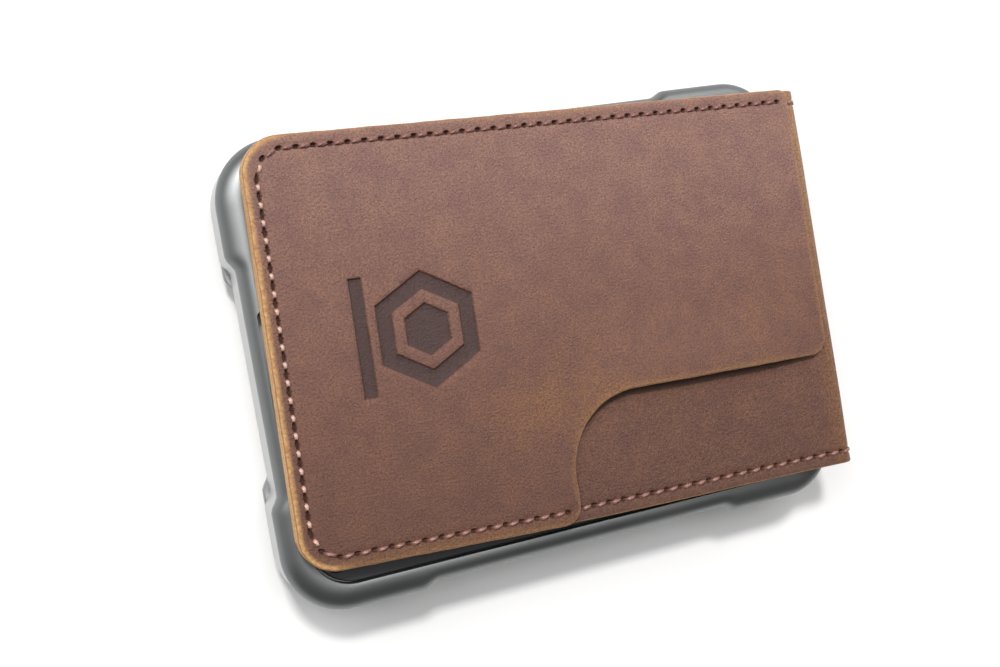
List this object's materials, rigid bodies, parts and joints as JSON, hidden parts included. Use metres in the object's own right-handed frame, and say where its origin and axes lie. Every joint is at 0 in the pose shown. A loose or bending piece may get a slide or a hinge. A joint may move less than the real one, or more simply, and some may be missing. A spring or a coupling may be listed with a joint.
{
  "type": "minimalist wallet",
  "caption": "Slim rounded aluminium card case in a stitched brown leather wrap with a front pocket, thumb cut-out and fold-open magnetic cover.",
  "frame": {"origin": "bottom centre of the closed wallet's box, on the face of the back leather that it rests on", "axes": "+X towards the leather spine and the card mouth (longest), +Y across the wallet, +Z out of the front cover (shortest)"},
  "size_m": [0.099, 0.0706, 0.0181],
  "materials": {
    "anodised_shell": "bead-blasted and anodised gunmetal, satin",
    "frame_band": "anodised light grey, satin",
    "black_steel": "black powder coat, matte",
    "bare_steel": "stainless, fine brushed",
    "brown_leather": "waxed pull-up leather, brown with tan rub marks",
    "lining_cloth": "black microfibre",
    "magnet_plating": "nickel plated",
    "thread": "waxed thread, red-brown"
  },
  "bodies": {
    "case": {"front_shell": "anodised_shell", "middle_frame": "frame_band", "back_shell": "anodised_shell", "front_plate": "black_steel", "plate_screw_1": "black_steel", "plate_screw_2": "black_steel", "plate_screw_3": "black_steel", "plate_screw_4": "black_steel", "case_screw_1": "bare_steel", "case_screw_2": "bare_steel", "case_screw_3": "bare_steel", "case_screw_4": "bare_steel", "case_screw_5": "bare_steel", "case_screw_6": "bare_steel", "card_spring_left": "bare_steel", "card_spring_right": "bare_steel", "spring_rivet_1": "bare_steel", "spring_rivet_2": "bare_steel", "spring_rivet_3": "bare_steel", "spring_rivet_4": "bare_steel", "back_leather": "brown_leather", "leather_screw_1": "bare_steel", "leather_screw_2": "bare_steel", "leather_screw_3": "bare_steel", "leather_screw_4": "bare_steel"},
    "spine": {"spine_leather": "brown_leather"},
    "cover": {"cover_leather": "brown_leather", "cover_lining": "lining_cloth", "closure_magnet_1": "magnet_plating", "closure_magnet_2": "magnet_plating", "closure_magnet_3": "magnet_plating", "pocket_panel": "brown_leather", "seam_thread": "thread"}
  },
  "joints": [
    {"name": "spine_fold", "type": "hinge", "parent": "case", "child": "spine", "pos_m": [0.04593, 0.0006, 0.0026], "axis": [0.0297, 0.9996, 0], "range_deg": [0, 90]},
    {"name": "cover_fold", "type": "hinge", "parent": "spine", "child": "cover", "pos_m": [0.04593, 0.0006, 0.01525], "axis": [0.0297, 0.9996, 0], "range_deg": [0, 90]}
  ]
}
